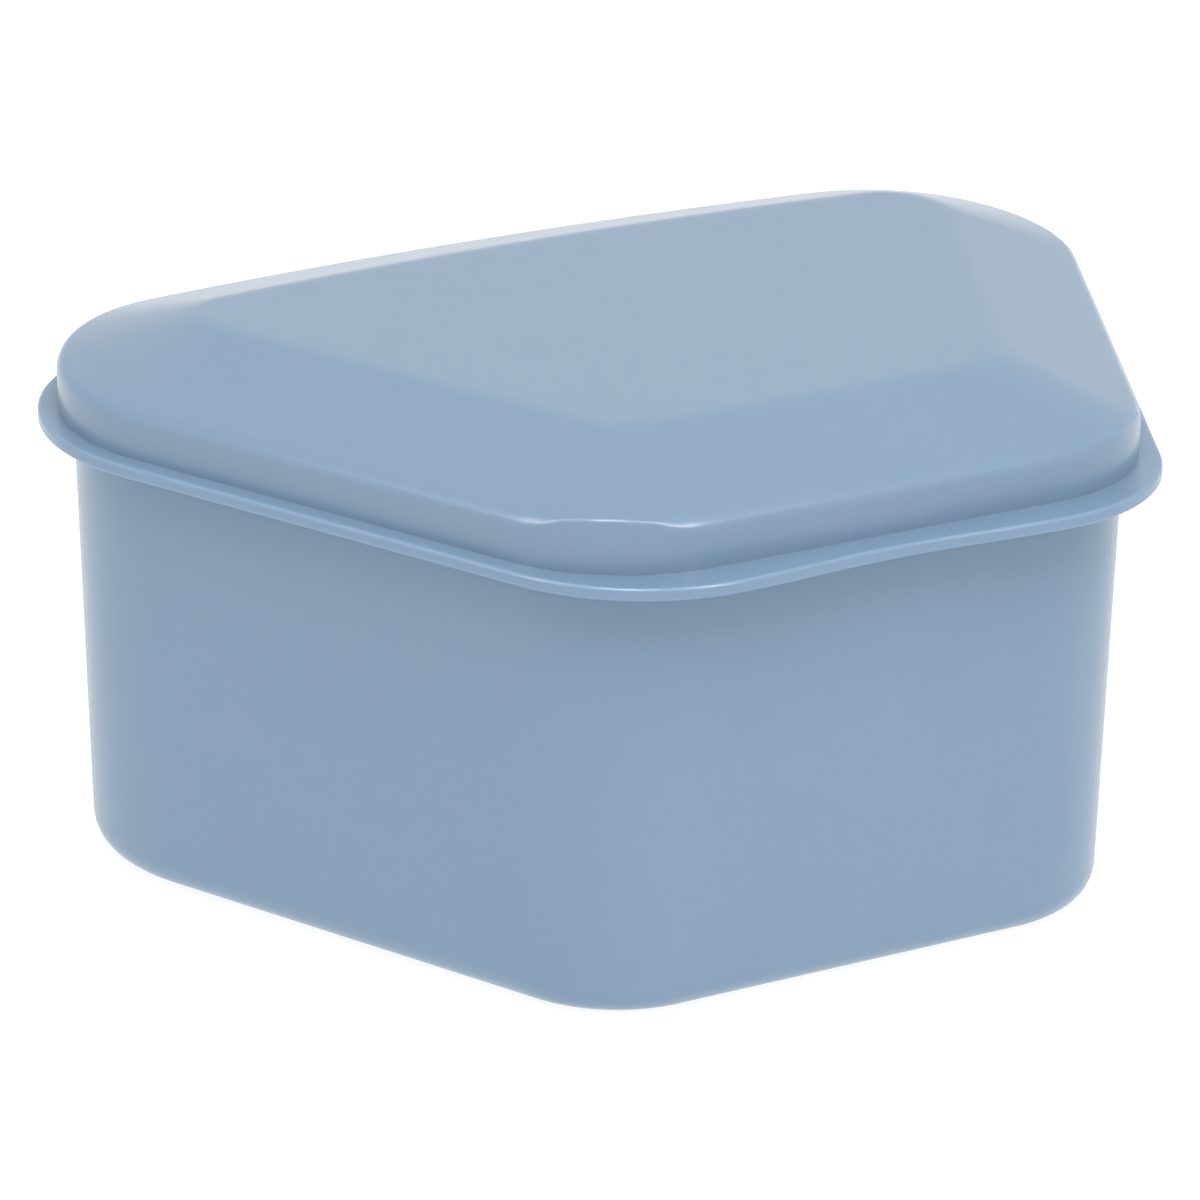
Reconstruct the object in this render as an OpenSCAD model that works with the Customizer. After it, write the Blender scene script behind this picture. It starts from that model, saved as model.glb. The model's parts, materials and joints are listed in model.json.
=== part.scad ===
/* [Footprint] */
// Width of the tub's rim at its widest, near the back
rim_w = 98.8; // [84:0.1:120]
// Width of the tub's rim at the front, between the points where front and slanted sides would meet
front_w = 52.7; // [44:0.1:64]
// Depth of the tub's rim, from its front side to the middle of its back side
rim_d = 72.8; // [62:0.1:90]
// How far the back side bows outwards between its two corners
back_bow = 1.4; // [0.3:0.1:3]
// Radius of the rim's two front corners, seen from above
front_corner_r = 14.1; // [10:0.1:18]
// Radius of the rim's two back corners, seen from above
back_corner_r = 18.3; // [12:0.1:22]

/* [Tub] */
// Height of the tub's rim above the table
tub_h = 45.2; // [34:0.1:70]
// Thickness of the tub's wall
tub_wall = 1.3; // [0.9:0.1:2]
// Thickness of the tub's floor over the raised middle of its base
floor_t = 1.4; // [0.9:0.1:2.5]
// How far the wall draws in from the lid's foot down to the table
wall_draw = 1.1; // [0:0.1:3]
// Rounding of the outer edge between wall and base
base_edge_r = 3; // [1.5:0.1:5]
// Rounding of the inner edge between wall and floor
floor_edge_r = 2.4; // [1:0.1:5]
// Width of the flat band that the tub stands on
stand_w = 4; // [2:0.1:7]
// Height of the base's middle above the table
base_rise = 0.6; // [0.3:0.1:1.2]

/* [Lid] */
// Thickness of the lid's skirt and roof
lid_wall = 1.2; // [0.9:0.1:1.8]
// Clearance between the tub's rim and the inside of the skirt
fit_gap = 0.2; // [0.1:0.05:0.5]
// How far the skirt reaches down over the rim
lap = 4.1; // [2.8:0.1:8]
// Height of the crease between skirt and roof above the tub's rim
seat_t = 1.5; // [1.2:0.1:3]
// How far the flat ledge inside the lid, which rests on the rim, reaches in past the rim
ledge_past = 0.6; // [0.3:0.1:1.2]
// Thickness of the flange at the skirt's foot
flange_t = 1.2; // [0.8:0.1:2]
// How far the flange stands out from the skirt at the sides and the back
side_lip = 1.8; // [1.1:0.1:4]
// How far the flange stands out at the two ends of the front side, where a thumb lifts it
front_lip = 3.6; // [2.4:0.1:6]
// How far the flange's front edge is scooped out in its middle
lip_scoop = 0.8; // [0:0.1:1.2]

/* [Roof] */
// Rise of the roof from the skirt's crease to the flat panel
roof_rise = 4.5; // [2.5:0.1:8]
// Run of the front and side facets, seen from above
facet_run = 12.2; // [9:0.1:15]
// Run of the back facet, seen from above
back_facet_run = 14.6; // [9:0.1:17]
// Radius of the flat panel's front corners
panel_front_r = 4.2; // [2:0.1:7]
// Radius of the flat panel's back corners, from which a cone falls to the skirt
panel_back_r = 5.6; // [3:0.1:9]
// Height over which the front facet blends into the side facets along their crease
facet_blend = 1.4; // [0.2:0.1:1.8]
// Height over which a facet blends into the flat panel
panel_blend = 0.35; // [0.15:0.05:0.6]
// Radius of the crease between skirt and roof, which the upright round of the front corners cuts off
crease_r = 1.5; // [0.5:0.1:2]

/* [Hidden] */

// Small moulded edges: rounding of the rim and of the flange's edge, fillet between skirt and flange,
// bevel inside the skirt's foot and inwards of the ledge
rim_edge_r = 0.35;
flange_edge_r = 0.3;
foot_fillet_r = 0.3;
lead_in = 0.4;
ledge_bevel = 0.6;

// Least corner radius of an outline that is drawn far in
least_corner_r = 0.5;

// Points of an outline: steps round a front and a back corner, along half the back and half the front
front_steps = 11;
back_steps = 12;
back_side_steps = 5;
front_side_steps = 4;

// Steps round a small and a large edge
edge_steps = 3;
round_steps = 6;

// Rings over the facets outside and under them inside, as shares of the way in to the panel
facet_shares = [0.2, 0.35, 0.5, 0.65, 0.8];
ceiling_shares = [0.7, 0.5];

// Heights that follow from the sizes above
foot_z = tub_h - lap;
flange_z = foot_z + flange_t;
crease_z = tub_h + seat_t;

// Slope of the front and side facets
facet_angle = atan(roof_rise / facet_run);

// Half the width of the blend into the flat panel, and the ring where the panel is flat all round,
// as shares of the way in from the skirt to the panel's edge
blend_share = panel_blend / roof_rise;
panel_share = 1 + (panel_blend + facet_blend / 2) / roof_rise;

// The skirt's outside and the flange's edge, as distances outwards from the rim's outline
skirt_out = fit_gap + lid_wall;
flange_grow = [skirt_out + front_lip, skirt_out + side_lip, skirt_out + side_lip];

// The back side is one wide arc that runs into the round of the back corners
back_half_chord = rim_w / 2 - back_corner_r;
back_arc_r = (pow(back_half_chord, 2) + pow(back_bow, 2)) / (2 * back_bow);
back_arc_centre = [0, rim_d / 2 - back_arc_r];
back_corner = back_arc_centre
    + [back_half_chord, sqrt(pow(back_arc_r - back_corner_r, 2) - pow(back_half_chord, 2))];

// The slanted side on the right, from the end of the front to where it touches the back corner:
// its lean from the middle line, its direction from front to back and its outward normal
front_end = [front_w / 2, -rim_d / 2];
side_span = back_corner - front_end;
lean = 90 - atan2(side_span.y, side_span.x) + asin(back_corner_r / norm(side_span));
side_dir = [sin(lean), cos(lean)];
side_out = [cos(lean), -sin(lean)];

// The part is centred on the middle of the whole footprint, flange included
centre_y = (side_lip - front_lip) / 2;

// Growth of an outline by the same distance at the front, the sides and the back
function even(g) = [g, g, g];

// Unit vector at an angle, seen from above
function turned(a) = [cos(a), sin(a)];

// Centre of the fillet between the front side and the slanted side
function front_fillet(g, r) =
    let(start = front_end + side_out * (g[1] - r),
        rise = (front_end.y - g[0] + r - start.y) / side_dir.y)
    start + side_dir * rise;

// Centre of the fillet between the slanted side and the wide arc of the back
function back_fillet(g, r) =
    let(start = front_end + side_out * (g[1] - r) - back_arc_centre,
        reach = back_arc_r + g[2] - r,
        along = start * side_dir)
    back_arc_centre + start
        + side_dir * (sqrt(pow(along, 2) - start * start + pow(reach, 2)) - along);

// Right half of an outline grown by g, from the middle of the front to the middle of the back
function half_outline(g, front_r, back_r, scoop) =
    let(f = front_fillet(g, front_r),
        b = back_fillet(g, back_r),
        front_y = front_end.y - g[0],
        b_ray = b - back_arc_centre,
        b_angle = atan2(b_ray.y, b_ray.x))
    [
        for (i = [0 : front_side_steps - 1])
            let(t = i / front_side_steps)
            [f.x * t, front_y + scoop * (1 + cos(180 * t)) / 2],
        for (i = [0 : front_steps])
            f + front_r * turned(-90 + (90 - lean) * i / front_steps),
        for (i = [0 : back_steps])
            b + back_r * turned(-lean + (b_angle + lean) * i / back_steps),
        for (i = [1 : back_side_steps])
            let(a = b_angle + (90 - b_angle) * i / back_side_steps)
            back_arc_centre + (back_arc_r + g[2]) * turned(a)
    ];

// Whole outline, anticlockwise seen from above, from the middle of the back round by the left
function outline(g, front_r, back_r, scoop = 0) =
    let(half = half_outline(g, front_r, back_r, scoop),
        last = len(half) - 1)
    [
        for (i = [last : -1 : 1])
            [-half[i].x, half[i].y],
        for (i = [0 : last - 1])
            half[i]
    ];

// Outline whose corners stay concentric with those of the rim
function rim_outline(grow) =
    outline(even(grow),
        max(front_corner_r + grow, least_corner_r),
        max(back_corner_r + grow, least_corner_r));

function at_height(points, z) = [for (p = points) [p.x, p.y, z]];

// Level ring that follows the rim's outline, grown by a distance
function rim_ring(grow, z) = at_height(rim_outline(grow), z);

// Smaller of two heights, with the step between them rounded off over the height k
function soft_min(a, b, k) = min(a, b) - pow(max(k - abs(a - b), 0), 2) / (4 * k);

// Distance of a point inwards from the skirt's outside, at the front, the side and the back
function inset_front(p) = p.y - front_end.y + skirt_out;
function inset_side(p) = skirt_out - ([abs(p.x), p.y] - front_end) * side_out;
function inset_back(p) = back_arc_r + skirt_out - norm([p.x, p.y] - back_arc_centre);

// Distance of a point inwards from the walls that the crease follows: the front and the sides, which meet
// in sharp corners, the round of the back corners and the back
function inset_crease(p) =
    let(ray = [abs(p.x), p.y] - back_corner,
        back_dir = back_corner - back_arc_centre)
    ray * side_dir > 0 && ray.x * back_dir.y > ray.y * back_dir.x
        ? back_corner_r + skirt_out - norm(ray)
        : min(inset_front(p), inset_side(p), inset_back(p));

// How far the crease's round lies below the edge of skirt and facet, at a distance inwards from the skirt
function crease_drop(inset) =
    let(d = max(inset, 0))
    d < crease_r * (1 - sin(facet_angle))
        ? d * tan(facet_angle) + crease_r * (1 - sin(facet_angle)) / cos(facet_angle)
            - sqrt(2 * crease_r * d - d * d)
        : 0;

// Depth below the tip of a cone that joins two facets, which lie at depths a and b below it;
// turn_cos is the cosine of the angle between the facets, seen from above
function cone_depth(a, b, turn_cos) =
    a < b * turn_cos || b < a * turn_cos
        ? max(a, b)
        : sqrt((a * a + b * b - 2 * a * b * turn_cos) / (1 - turn_cos * turn_cos));

// Height of the roof's upper face over a point: four facets under a flat panel, with mitres between
// front and sides, cones between sides and back, and a round crease all about
function roof_height(p) =
    let(tip = tan(facet_angle) * (facet_run + panel_back_r),
        front = tan(facet_angle) * inset_front(p),
        side = tan(facet_angle) * inset_side(p),
        back = inset_back(p) * roof_rise / back_facet_run,
        ray = [abs(p.x), p.y] - back_arc_centre,
        turn_cos = ray * side_out / norm(ray),
        side_and_back = tip - cone_depth(tip - side, tip - back, turn_cos))
    crease_z + soft_min(soft_min(front, side_and_back, facet_blend), roof_rise, panel_blend)
        - crease_drop(inset_crease(p));

// Outline at a share t of the way in from the skirt to the flat panel
function roof_outline(t) =
    let(grow = skirt_out - t * facet_run,
        front_r = front_corner_r + skirt_out,
        back_r = back_corner_r + skirt_out)
    outline([grow, grow, skirt_out - t * back_facet_run],
        max(front_r + t * (panel_front_r - front_r), least_corner_r),
        max(back_r + t * (panel_back_r - back_r), least_corner_r));

// Ring that lies on the roof at a share t of the way in, or a drop below it for the ceiling
function roof_ring(t, drop = 0) =
    [for (p = roof_outline(t)) [p.x, p.y, roof_height(p) - drop]];

// Rings of a quarter round of radius r, centred at a growth and a height, from an angle on
function quarter_rings(grow, z, r, from_angle, steps) =
    [
        for (i = [0 : steps])
            let(a = from_angle + 90 * i / steps)
            rim_ring(grow + r * cos(a), z + r * sin(a))
    ];

// Closed solid through a stack of rings that all have as many points, closed by flat ends
module loft(rings) {
    count = len(rings[0]);
    last = len(rings) - 1;
    points = [for (ring = rings) each ring];
    sides = [
        for (r = [0 : last - 1], i = [0 : count - 1])
            let(j = (i + 1) % count,
                a = r * count)
            each [[a + i, a + count + i, a + j], [a + j, a + count + i, a + count + j]]
    ];
    start_face = [for (i = [0 : count - 1]) i];
    end_face = [for (i = [count - 1 : -1 : 0]) last * count + i];
    polyhedron(points, [start_face, each sides, end_face], convexity = 6);
}

// Tub: one skin from the middle of the base, up the outside, over the rim and down to the floor
module tub() {
    base_grow = -wall_draw * (1 - base_edge_r / foot_z) - base_edge_r;
    floor_z = base_rise + floor_t;
    inner_low_z = floor_z + floor_edge_r;
    inner_low = -tub_wall - wall_draw * (1 - inner_low_z / foot_z);
    color("#8fabc8")
        translate([0, -centre_y, 0])
            loft([
                rim_ring(base_grow - stand_w - base_rise, base_rise),
                rim_ring(base_grow - stand_w, 0),
                each quarter_rings(base_grow, base_edge_r, base_edge_r, -90, round_steps),
                rim_ring(0, foot_z),
                each quarter_rings(-rim_edge_r, tub_h - rim_edge_r, rim_edge_r, 0, edge_steps),
                each quarter_rings(rim_edge_r - tub_wall, tub_h - rim_edge_r, rim_edge_r, 90, edge_steps),
                rim_ring(-tub_wall, foot_z),
                for (i = [0 : round_steps])
                    let(a = 90 * i / round_steps)
                    rim_ring(inner_low - floor_edge_r * (1 - cos(a)), inner_low_z - floor_edge_r * sin(a))
            ]);
}

// Inside of the lid, from the middle of the ceiling out to the ledge and down the skirt to its foot
function lid_inside() =
    let(drop = lid_wall / cos(facet_angle),
        ledge_grow = -tub_wall - ledge_past,
        ceiling_edge = (skirt_out - ledge_grow + ledge_bevel) / facet_run)
    [
        for (t = [panel_share, 1 + blend_share, 1, 1 - blend_share, each ceiling_shares, ceiling_edge])
            roof_ring(t, drop),
        rim_ring(ledge_grow, tub_h),
        rim_ring(fit_gap, tub_h),
        rim_ring(fit_gap, foot_z + lead_in),
        rim_ring(fit_gap + lead_in, foot_z)
    ];

// Outline of the flange, drawn in from its edge and set at a height
function flange_ring(draw_in, z) =
    at_height(outline(flange_grow - even(draw_in),
        front_corner_r + skirt_out + side_lip - draw_in,
        back_corner_r + skirt_out + side_lip - draw_in,
        lip_scoop), z);

// Outside of the lid, from the flange's underside over its edge, up the skirt and over the roof
function lid_outside() =
    [
        for (i = [0 : edge_steps])
            let(a = 90 * i / edge_steps)
            flange_ring(flange_edge_r * (1 - sin(a)), foot_z + flange_edge_r * (1 - cos(a))),
        for (i = [0 : edge_steps])
            let(a = 90 * i / edge_steps)
            flange_ring(flange_edge_r * (1 - cos(a)), flange_z - flange_edge_r * (1 - sin(a))),
        for (i = [0 : edge_steps])
            let(a = 90 * i / edge_steps)
            rim_ring(skirt_out + foot_fillet_r * (1 - sin(a)), flange_z + foot_fillet_r * (1 - cos(a))),
        for (i = [0 : round_steps])
            let(a = (90 - facet_angle) * i / round_steps)
            roof_ring(crease_r * (1 - cos(a)) / facet_run),
        for (t = facet_shares)
            roof_ring(t),
        for (i = [-2 : 2])
            roof_ring(1 + blend_share * i / 2),
        roof_ring(panel_share)
    ];

// Lid: one skin from the ceiling, down the skirt's inside, round the flange and over the roof
module lid() {
    color("#97b3d0")
        translate([0, -centre_y, 0])
            loft(concat(lid_inside(), lid_outside()));
}

tub();
lid();
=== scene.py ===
import json
import math

import bmesh
import bpy
from mathutils import Matrix, Vector

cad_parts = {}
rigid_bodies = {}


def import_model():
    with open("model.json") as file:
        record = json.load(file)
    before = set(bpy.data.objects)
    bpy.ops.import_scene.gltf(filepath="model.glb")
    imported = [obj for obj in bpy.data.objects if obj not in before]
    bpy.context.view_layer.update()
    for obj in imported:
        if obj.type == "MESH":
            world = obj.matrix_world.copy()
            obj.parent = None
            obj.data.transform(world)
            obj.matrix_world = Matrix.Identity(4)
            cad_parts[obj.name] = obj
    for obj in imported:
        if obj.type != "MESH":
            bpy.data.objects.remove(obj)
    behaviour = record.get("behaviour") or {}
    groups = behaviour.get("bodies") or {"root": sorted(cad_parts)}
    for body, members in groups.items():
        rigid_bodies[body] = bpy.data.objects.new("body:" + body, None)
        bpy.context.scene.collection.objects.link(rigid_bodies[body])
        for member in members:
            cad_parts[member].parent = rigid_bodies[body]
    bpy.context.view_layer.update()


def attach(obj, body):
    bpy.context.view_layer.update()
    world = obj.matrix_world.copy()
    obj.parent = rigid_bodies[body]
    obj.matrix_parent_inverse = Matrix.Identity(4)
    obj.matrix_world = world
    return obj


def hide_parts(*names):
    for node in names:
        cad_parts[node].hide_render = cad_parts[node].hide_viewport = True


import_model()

mm = 0.001                       # every size below is in millimetres, Blender works in metres

# what both pieces share: the rim of the tub as seen from above, and the fit of the lid on it
rim = {
    "width": 98.8,               # at the widest, near the back
    "frontWidth": 52.7,          # between the points where front and slanted sides would meet
    "depth": 72.8,               # from the front to the middle of the back
    "backBow": 1.4,              # the back side is one wide arc
    "frontCorner": 14.1,         # corner radii
    "backCorner": 18.3,
    "height": 45.2,
    "lap": 4.1,                  # how far the lid reaches down over it
    "wall": 1.3,
    "fitGap": 0.2,               # between the rim and the lid's skirt
    "skirt": 1.2,                # thickness of that skirt
    "frontSteps": 24,            # steps round the corners and along the sides
    "backSteps": 28,
    "sideSteps": 10,
    "halfFrontSteps": 10,
    "backArcSteps": 44,
}
lidFoot = rim["height"] - rim["lap"]
skirtOut = rim["fitGap"] + rim["skirt"]      # outside of the skirt, measured outwards from the rim

halfChord = rim["width"] / 2 - rim["backCorner"]
arcRadius = (halfChord ** 2 + rim["backBow"] ** 2) / (2 * rim["backBow"])
arcCentre = Vector((0, rim["depth"] / 2 - arcRadius))
arcReach = arcRadius - rim["backCorner"]
backCorner = arcCentre + Vector((halfChord, math.sqrt(arcReach ** 2 - halfChord ** 2)))
frontEnd = Vector((rim["frontWidth"] / 2, -rim["depth"] / 2))
span = backCorner - frontEnd     # the slanted side starts at frontEnd and touches the back corner
lean = math.pi / 2 - math.atan2(span.y, span.x) + math.asin(rim["backCorner"] / span.length)
sideRun = Vector((math.sin(lean), math.cos(lean)))
sideOut = Vector((math.cos(lean), -math.sin(lean)))


def frontFillet(growth, radius):
    # centre of the corner between the front and a slanted side
    start = frontEnd + sideOut * (growth[1] - radius)
    return start + sideRun * ((frontEnd.y - growth[0] + radius - start.y) / sideRun.y)


def backFillet(growth, radius):
    # centre of the corner between a slanted side and the wide arc of the back
    start = frontEnd + sideOut * (growth[1] - radius) - arcCentre
    reach = arcRadius + growth[2] - radius
    along = start.dot(sideRun)
    run = math.sqrt(along ** 2 - start.dot(start) + reach ** 2) - along
    return arcCentre + start + sideRun * run


class Skin:
    # one closed skin, drawn as outlines in edit mode and bridged from one to the next
    largestRound = 3.0           # rounded edges carry their radius as a share of this
    roundSteps = 6
    liftClear = 60
    sameSpot = 0.01              # points closer than this are one

    def __init__(self, name, shiftY):
        bpy.ops.object.select_all(action="DESELECT")
        bpy.ops.mesh.primitive_plane_add(size=mm, location=(0, 0, 0))
        self.piece = bpy.context.object
        self.piece.name = self.piece.data.name = name
        self.shiftY = shiftY
        bpy.ops.object.mode_set(mode="EDIT")
        bpy.ops.mesh.select_mode(type="VERT")
        bpy.ops.mesh.delete(type="VERT")

    def place(self, x, y, z):
        return Vector((x, y - self.shiftY, z)) * mm

    def step(self, x, y):
        bpy.ops.mesh.extrude_vertices_move(TRANSFORM_OT_translate={"value": (x * mm, y * mm, 0)})

    def straight(self, run, steps):
        for _ in range(steps):
            self.step(run.x / steps, run.y / steps)

    def turn(self, centre, angle, steps, z):
        spot = self.place(centre.x, centre.y, z)
        bpy.ops.mesh.spin(steps=steps, angle=-angle, center=spot, axis=(0, 0, 1))

    def outline(self, name, growth, z, frontRadius=None, backRadius=None, scoop=0):
        # from the middle of the front round by the right, back to where it started
        if not isinstance(growth, tuple):
            growth = (growth, growth, growth)
        frontRadius = frontRadius or rim["frontCorner"] + growth[1]
        backRadius = backRadius or rim["backCorner"] + growth[1]
        front = frontFillet(growth, frontRadius)
        back = backFillet(growth, backRadius)
        ray = back - arcCentre
        backAngle = math.atan2(ray.y, ray.x)
        frontY = frontEnd.y - growth[0]
        side = back - front + sideOut * (backRadius - frontRadius)
        n = rim["halfFrontSteps"]
        lifts = [scoop * (1 + math.cos(math.pi * i / n)) / 2 for i in range(n + 1)]
        bpy.ops.mesh.select_all(action="DESELECT")
        bpy.ops.mesh.primitive_plane_add(size=mm, location=self.place(0, frontY + lifts[0], z))
        bpy.ops.mesh.merge(type="CENTER")
        for i in range(n):
            self.step(front.x / n, lifts[i + 1] - lifts[i])
        self.turn(front, math.pi / 2 - lean, rim["frontSteps"], z)
        self.straight(side, rim["sideSteps"])
        self.turn(back, backAngle + lean, rim["backSteps"], z)
        self.turn(arcCentre, math.pi - 2 * backAngle, rim["backArcSteps"], z)
        self.turn(Vector((-back.x, back.y)), backAngle + lean, rim["backSteps"], z)
        self.straight(Vector((side.x, -side.y)), rim["sideSteps"])
        self.turn(Vector((-front.x, front.y)), math.pi / 2 - lean, rim["frontSteps"], z)
        for i in range(n, 0, -1):
            self.step(front.x / n, lifts[i - 1] - lifts[i])
        bpy.ops.mesh.select_linked()
        bpy.ops.mesh.remove_doubles(threshold=self.sameSpot * mm)
        self.piece.vertex_groups.new(name=name)
        bpy.ops.object.vertex_group_assign()

    def pick(self, *names):
        bpy.ops.mesh.select_all(action="DESELECT")
        for name in names:
            bpy.ops.object.vertex_group_set_active(group=name)
            bpy.ops.object.vertex_group_select()

    def bridge(self, *names, cuts=0):
        # the second outline is lifted clear for a moment, because level ones are bridged askew
        for first, second in zip(names, names[1:]):
            self.pick(second)
            bpy.ops.transform.translate(value=(0, 0, self.liftClear * mm))
            self.pick(first, second)
            bpy.ops.mesh.bridge_edge_loops(number_cuts=cuts, interpolation="LINEAR")
            self.pick(second)
            bpy.ops.transform.translate(value=(0, 0, -self.liftClear * mm))

    def close(self, name):
        self.pick(name)
        bpy.ops.mesh.edge_face_add()

    def round(self, name, radius):
        self.pick(name)
        bpy.ops.transform.edge_bevelweight(value=radius / self.largestRound)

    def settle(self, heightAt):
        # the selected vertices go to the height of a surface over their place
        mesh = bmesh.from_edit_mesh(self.piece.data)
        for v in mesh.verts:
            if v.select:
                v.co.z = heightAt(v.co.x / mm, v.co.y / mm + self.shiftY) * mm
        bmesh.update_edit_mesh(self.piece.data)

    def finish(self):
        bpy.ops.mesh.select_all(action="SELECT")
        bpy.ops.mesh.normals_make_consistent(inside=False)
        bpy.ops.mesh.select_all(action="DESELECT")
        bpy.ops.object.mode_set(mode="OBJECT")
        bpy.ops.object.vertex_group_remove(all=True)
        bpy.ops.object.shade_smooth()
        bpy.ops.object.modifier_add(type="BEVEL")
        bevel = self.piece.modifiers[-1]
        bevel.limit_method = "WEIGHT"
        bevel.width = self.largestRound * mm
        bevel.segments = self.roundSteps
        bpy.ops.object.modifier_apply(modifier=bevel.name)
        bpy.ops.object.modifier_add(type="WEIGHTED_NORMAL")
        bpy.ops.object.modifier_apply(modifier=self.piece.modifiers[-1].name)
        return self.piece


lidShape = {
    "flange": 1.2,               # thickness of the flange
    "sideLip": 1.8,              # how far it stands out from the skirt
    "frontLip": 3.6,
    "scoop": 0.8,                # its front edge is hollowed by this much
    "edgeRound": 0.3,
    "footFillet": 0.05,
    "seat": 1.5,                 # crease between skirt and roof, above the rim
    "roofRise": 4.5,
    "facetRun": 12.2,            # run of the front and side facets seen from above
    "backRun": 14.6,
    "panelFront": 4.2,           # corner radii of the flat panel
    "panelBack": 5.6,            # a cone falls from here to the skirt
    "facetBlend": 1.4,           # heights over which front and side facet, or facet and panel, blend
    "panelBlend": 0.35,
    "crease": 1.5,               # radius of its round, which narrows at the front corners
    "cornerCrease": 0.45,        # radius that is left there
    "cornerCut": (0.08, 0.7),    # depths of the corner's cut between which it narrows
    "creaseSteps": 9,
    "roofWall": 1.2,
    "ledgePast": 0.6,            # the ledge inside reaches this far in past the rim
    "ledgeBevel": 0.6,
    "leadIn": 0.4,               # bevel inside the skirt's foot
    "roofCuts": 44,
    "ceilingCuts": 22,
}
middleY = (lidShape["sideLip"] - lidShape["frontLip"]) / 2   # the part is centred on its footprint
facetAngle = math.atan(lidShape["roofRise"] / lidShape["facetRun"])
skirtFront = frontFillet((skirtOut, skirtOut, skirtOut), rim["frontCorner"] + skirtOut)


def softMin(a, b, blend):
    return min(a, b) - max(blend - abs(a - b), 0) ** 2 / (4 * blend)


def wallsAt(x, y):
    # distances inwards from the front, the slanted side and the back of the skirt
    at = Vector((abs(x), y))
    front = y - frontEnd.y + skirtOut
    side = skirtOut - (at - frontEnd).dot(sideOut)
    back = arcRadius + skirtOut - (at - arcCentre).length
    return front, side, back


def creaseDrop(x, y):
    # how far the round of the crease lies below the edge of skirt and facet
    s = lidShape
    at = Vector((abs(x), y))
    fromFront, fromBack = at - skirtFront, at - backCorner
    arcEnd = backCorner - arcCentre
    radius = s["crease"]
    d = min(wallsAt(x, y))
    if fromBack.dot(sideRun) > 0 and fromBack.x * arcEnd.y > fromBack.y * arcEnd.x:
        d = rim["backCorner"] + skirtOut - fromBack.length
    elif fromFront.x > 0 and fromFront.dot(sideRun) < 0 and fromFront.length > 0:
        # a front corner cuts off the crease of the walls that would meet there
        corner = rim["frontCorner"] + skirtOut
        d = corner - fromFront.length
        onWall = skirtFront + fromFront * (corner / fromFront.length)
        low, high = s["cornerCut"]
        share = min(max((min(wallsAt(*onWall)) - low) / (high - low), 0), 1)
        radius += (s["cornerCrease"] - radius) * share ** 2 * (3 - 2 * share)
    d = max(d, 0)
    if d >= radius * (1 - math.sin(facetAngle)):
        return 0
    edge = d * math.tan(facetAngle) + radius * (1 - math.sin(facetAngle)) / math.cos(facetAngle)
    return edge - math.sqrt(2 * radius * d - d * d)


def coneDepth(a, b, turnCos):
    # depth below the tip of a cone that joins two facets, which lie at depths a and b below it
    if a < b * turnCos or b < a * turnCos:
        return max(a, b)
    return math.sqrt((a * a + b * b - 2 * a * b * turnCos) / (1 - turnCos ** 2))


def roofAt(x, y):
    # height of the roof over a point: four facets under a flat panel, cones between sides and back
    s = lidShape
    slope = math.tan(facetAngle)
    tip = slope * (s["facetRun"] + s["panelBack"])
    ray = Vector((abs(x), y)) - arcCentre
    front, side, back = wallsAt(x, y)
    backDepth = tip - back * s["roofRise"] / s["backRun"]
    sideAndBack = tip - coneDepth(tip - side * slope, backDepth, ray.dot(sideOut) / ray.length)
    facets = softMin(front * slope, sideAndBack, s["facetBlend"])
    roof = softMin(facets, s["roofRise"], s["panelBlend"])
    return rim["height"] + s["seat"] + roof - creaseDrop(x, y)


def ceilingAt(x, y):
    return roofAt(x, y) - lidShape["roofWall"] / math.cos(facetAngle)


def roofOutline(skin, name, share, heightAt):
    # outline at a share of the way in from the skirt to the panel, laid on the roof or the ceiling
    s = lidShape
    front = rim["frontCorner"] + skirtOut
    back = rim["backCorner"] + skirtOut
    sideGrowth = skirtOut - share * s["facetRun"]
    growth = (sideGrowth, sideGrowth, skirtOut - share * s["backRun"])
    frontRadius = front + share * (s["panelFront"] - front)
    backRadius = back + share * (s["panelBack"] - back)
    skin.outline(name, growth, rim["height"], frontRadius, backRadius)
    skin.settle(heightAt)


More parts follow.
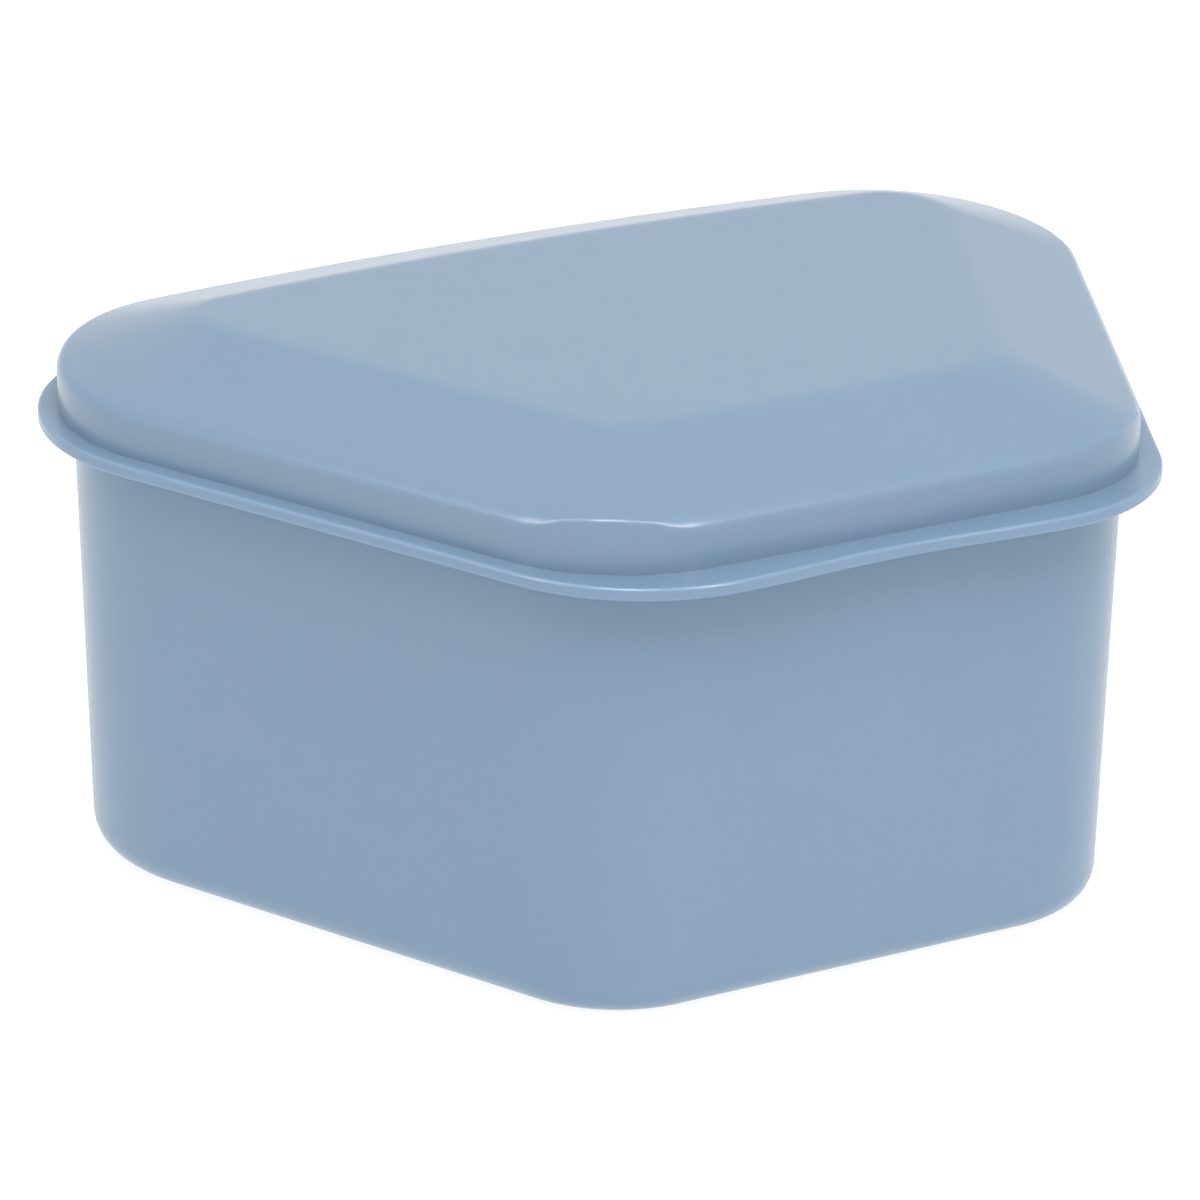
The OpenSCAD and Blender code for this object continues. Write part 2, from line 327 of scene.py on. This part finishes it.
def makeLid():
    s = lidShape
    skin = Skin("lid_shell", middleY)
    flangeTop = lidFoot + s["flange"]
    flange = (skirtOut + s["frontLip"], skirtOut + s["sideLip"], skirtOut + s["sideLip"])
    ledge = -rim["wall"] - s["ledgePast"]
    panelShare = 1 + (s["panelBlend"] + s["facetBlend"] / 2) / s["roofRise"]
    ceilingShare = (skirtOut - ledge + s["ledgeBevel"]) / s["facetRun"]
    skin.outline("flange low", flange, lidFoot, scoop=s["scoop"])
    skin.outline("flange top", flange, flangeTop, scoop=s["scoop"])
    skin.outline("skirt foot", skirtOut, flangeTop)
    crease = ["crease %d" % i for i in range(s["creaseSteps"] + 1)]
    for i, name in enumerate(crease):
        a = (math.pi / 2 - facetAngle) * i / s["creaseSteps"]
        roofOutline(skin, name, s["crease"] * (1 - math.cos(a)) / s["facetRun"], roofAt)
    roofOutline(skin, "panel", panelShare, roofAt)
    skin.outline("foot inside", rim["fitGap"] + s["leadIn"], lidFoot)
    skin.outline("lead in", rim["fitGap"], lidFoot + s["leadIn"])
    skin.outline("ledge outer", rim["fitGap"], rim["height"])
    skin.outline("ledge inner", ledge, rim["height"])
    roofOutline(skin, "ceiling edge", ceilingShare, ceilingAt)
    roofOutline(skin, "ceiling panel", panelShare, ceilingAt)
    skin.bridge("ledge outer", "lead in", "foot inside", "flange low", "flange top", "skirt foot", *crease)
    skin.bridge("ledge outer", "ledge inner", "ceiling edge")
    skin.close("panel")
    skin.close("ceiling panel")
    skin.round("skirt foot", s["footFillet"])
    skin.round("flange top", s["edgeRound"])
    skin.round("flange low", s["edgeRound"])
    skin.bridge(crease[-1], "panel", cuts=s["roofCuts"])
    skin.settle(roofAt)
    skin.bridge("ceiling edge", "ceiling panel", cuts=s["ceilingCuts"])
    skin.settle(ceilingAt)
    lid = skin.finish()
    print("lid modelled,", len(lid.data.polygons), "faces")
    return lid


tubShape = {
    "draw": 1.1,                 # how far the wall draws in from the lid's foot to the table
    "floor": 1.4,
    "baseRound": 3.0,
    "floorRound": 2.4,
    "stand": 4.0,                # flat band that it stands on
    "rise": 0.6,                 # the middle of the base is raised by this
    "rimRound": 0.35,
}


def makeTub():
    s = tubShape
    skin = Skin("tub_shell", middleY)

    def drawIn(z):
        return -s["draw"] * (1 - z / lidFoot)

    floorTop = s["rise"] + s["floor"]
    standInner = drawIn(s["baseRound"]) - s["baseRound"] - s["stand"]
    skin.outline("base middle", standInner - s["rise"], s["rise"])
    skin.outline("stand inner", standInner, 0)
    skin.outline("base edge", drawIn(0), 0)
    skin.outline("wall top", 0, lidFoot)
    skin.outline("rim outer", 0, rim["height"])
    skin.outline("rim inner", -rim["wall"], rim["height"])
    skin.outline("inner top", -rim["wall"], lidFoot)
    skin.outline("floor edge", drawIn(floorTop) - rim["wall"], floorTop)
    skin.bridge("base middle", "stand inner", "base edge", "wall top",
                "rim outer", "rim inner", "inner top", "floor edge")
    skin.close("base middle")
    skin.close("floor edge")
    skin.round("base edge", s["baseRound"])
    skin.round("rim outer", s["rimRound"])
    skin.round("rim inner", s["rimRound"])
    skin.round("floor edge", s["floorRound"])
    tub = skin.finish()
    print("tub modelled,", len(tub.data.polygons), "faces")
    return tub


class Wire:
    # a socket that can stand in a sum
    def __init__(self, finish, socket):
        self.finish = finish
        self.socket = socket

    def math(self, operation, a, b):
        return self.finish.node("ShaderNodeMath", {"operation": operation}, {0: a, 1: b})

    def __add__(self, other):
        return self.math("ADD", self, other)

    def __sub__(self, other):
        return self.math("SUBTRACT", self, other)

    def __mul__(self, other):
        return self.math("MULTIPLY", self, other)

    __radd__ = __add__


class Finish:
    # one material; node() adds a node, sets it up, then fills its sockets
    def __init__(self, name):
        self.material = bpy.data.materials.new(name)
        self.material.use_nodes = True
        self.tree = self.material.node_tree
        self.tree.nodes.clear()

    def node(self, kind, settings, sockets, output=0):
        made = self.tree.nodes.new(kind)
        for key, value in settings.items():
            setattr(made, key, value)
        for key, value in sockets.items():
            if isinstance(value, Wire):
                self.tree.links.new(value.socket, made.inputs[key])
            else:
                made.inputs[key].default_value = value
        return Wire(self, made.outputs[output]) if made.outputs else None

    def show(self, shader):
        self.node("ShaderNodeOutputMaterial", {}, {"Surface": shader})
        return self.material


def mouldedPlastic(name, look):
    # semi-gloss polypropylene: faint clouds and mottling in colour and gloss, a fine grain on the skin
    f = Finish(name)
    place = f.node("ShaderNodeTexCoord", {}, {}, "Object")
    inMm = f.node("ShaderNodeMapping", {}, {
        "Vector": place, "Location": look["shift"], "Scale": (1 / mm, 1 / mm, 1 / mm),
    })

    def noise(size, detail, roughness):
        return f.node("ShaderNodeTexNoise", {}, {
            "Vector": inMm, "Scale": 1 / size, "Detail": detail, "Roughness": roughness,
        })

    def bump(height, relief, **below):
        strength, depth = relief
        return f.node("ShaderNodeBump", {}, {
            "Strength": strength, "Distance": depth * mm, "Height": height, **below,
        })

    clouds = noise(*look["cloudNoise"])
    mottle = noise(*look["mottleNoise"])
    grain = noise(*look["grainNoise"])
    halfway = 0.5 - 0.5 * (look["clouds"] + look["mottle"])
    tone = clouds * look["clouds"] + mottle * look["mottle"] + halfway
    colour = f.node("ShaderNodeMix", {"data_type": "RGBA"}, {0: tone, 6: look["dark"], 7: look["light"]}, 2)
    spread = look["roughSpread"]
    rough = look["roughness"] + (mottle - 0.5) * spread + (clouds - 0.5) * spread
    waves = bump(clouds, look["waves"])
    skin = bump(grain, look["grain"], Normal=waves)
    return f.show(f.node("ShaderNodeBsdfPrincipled", {}, {
        "Base Color": colour, "Roughness": rough, "Normal": skin, "IOR": look["ior"],
        "Subsurface Weight": look["glow"], "Subsurface Radius": look["glowReach"],
        "Subsurface Scale": look["glowDepth"] * mm,
    }))


plastic = {
    "dark": (0.184, 0.284, 0.399, 1),
    "light": (0.202, 0.308, 0.425, 1),
    "clouds": 0.5,               # shares of clouds and mottling in the tone
    "mottle": 0.4,
    "cloudNoise": (14.0, 3, 0.5),            # size, detail and roughness of each pattern
    "mottleNoise": (0.7, 2, 0.5),
    "grainNoise": (0.28, 2, 0.6),
    "roughness": 0.24,
    "roughSpread": 0.02,
    "waves": (0.25, 0.10),       # strength and depth of the relief
    "grain": (0.10, 0.02),
    "ior": 1.54,
    "glow": 0.6,                 # light that goes in and comes out again a little way off
    "glowReach": (0.6, 0.8, 1.0),
    "glowDepth": 1.6,
}
tubLook = {**plastic, "shift": (3.0, 11.0, 0.0)}
lidLook = {
    **plastic,
    "dark": (0.187, 0.280, 0.391, 1),        # a touch greyer than the tub
    "light": (0.205, 0.304, 0.417, 1),
    "shift": (40.0, 7.0, 5.0),
}

tub = makeTub()
tub.data.materials.append(mouldedPlastic("tub plastic", tubLook))
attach(tub, "tub")
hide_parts("tub")

lid = makeLid()
lid.data.materials.append(mouldedPlastic("lid plastic", lidLook))
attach(lid, "lid")
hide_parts("lid")

# a light tent: a floor that glows white, white all round and a few soft boxes
tent = {
    "floorSize": 8.0,            # metres, as for the boxes
    "floorColour": (0.25, 0.25, 0.25, 1),
    "floorRoughness": 0.9,
    "floorIor": 1.2,
    "floorGlow": 0.86,
    "white": (1.0, 1.0, 1.0, 1),
    "brightness": 0.84,
    "boxDistance": 0.9,
}
softBoxes = {                    # angles in degrees from +X and from level, brightness as the tent's
    "left": {"azimuth": 179, "elevation": 38, "size": (0.08, 0.90), "brightness": 14, "fill": False},
    "right": {"azimuth": -72, "elevation": 44, "size": (0.05, 0.70), "brightness": 43, "fill": False},
    "front": {"azimuth": -129, "elevation": 60, "size": (0.34, 0.50), "brightness": 11, "fill": False},
    "fill": {"azimuth": -105, "elevation": 60, "size": (0.50, 0.50), "brightness": 5.8, "fill": True},
}


def makeFloor():
    f = Finish("floor")
    white = f.node("ShaderNodeBsdfPrincipled", {}, {
        "Base Color": tent["floorColour"], "Roughness": tent["floorRoughness"], "IOR": tent["floorIor"],
        "Emission Color": tent["white"], "Emission Strength": tent["floorGlow"],
    })
    bpy.ops.object.select_all(action="DESELECT")
    bpy.ops.mesh.primitive_plane_add(size=tent["floorSize"], location=(0, 0, 0))
    floor = bpy.context.object
    floor.name = "floor"
    floor.data.materials.append(f.show(white))


def makeLight():
    world = bpy.data.worlds.new("studio")
    world.use_nodes = True
    sky = world.node_tree.nodes["Background"]
    sky.inputs["Color"].default_value = tent["white"]
    sky.inputs["Strength"].default_value = tent["brightness"]
    bpy.context.scene.world = world
    for name, box in softBoxes.items():
        width, height = box["size"]
        a, e = math.radians(box["azimuth"]), math.radians(box["elevation"])
        towards = Vector((math.cos(a) * math.cos(e), math.sin(a) * math.cos(e), math.sin(e)))
        turn = towards.to_track_quat("Z", "Y").to_euler()
        bpy.ops.object.light_add(type="AREA", location=towards * tent["boxDistance"], rotation=turn)
        light = bpy.context.object
        light.name = name + " box"
        light.visible_diffuse = box["fill"]       # a box either fills or makes a highlight
        light.visible_glossy = not box["fill"]
        light.data.shape = "RECTANGLE"
        light.data.size = width
        light.data.size_y = height
        light.data.energy = box["brightness"] * math.pi * width * height
    bpy.context.scene.view_settings.view_transform = "Standard"
    print("floor and light made")


# the camera stands where the photograph was taken
camera = {
    "azimuth": -29.052,          # 0 looks along +Y
    "elevation": 21.461,
    "roll": 0.582,
    "distance": 565.567,         # from the plane through the origin
    "aim": (-1.749, 10.072, 20.238),
    "sensor": 36,
    "lens": 183.24,
    "nearest": 50,               # nothing closer than this shows
}


def makeCamera():
    a, e, r = (math.radians(camera[k]) for k in ("azimuth", "elevation", "roll"))
    back = Vector((math.sin(a) * math.cos(e), -math.cos(a) * math.cos(e), math.sin(e)))
    right = Vector((math.cos(a), math.sin(a), 0))
    up = back.cross(right)
    across = right * math.cos(r) + up * math.sin(r)
    upwards = up * math.cos(r) - right * math.sin(r)
    spot = (Vector(camera["aim"]) + back * camera["distance"]) * mm
    bpy.ops.object.camera_add()
    eye = bpy.context.object
    eye.matrix_world = Matrix.Translation(spot) @ Matrix((across, upwards, back)).transposed().to_4x4()
    eye.data.lens = camera["lens"]
    eye.data.sensor_width = camera["sensor"]
    eye.data.clip_start = camera["nearest"] * mm
    bpy.context.scene.camera = eye
    print("camera set")


makeFloor()
makeLight()
makeCamera()
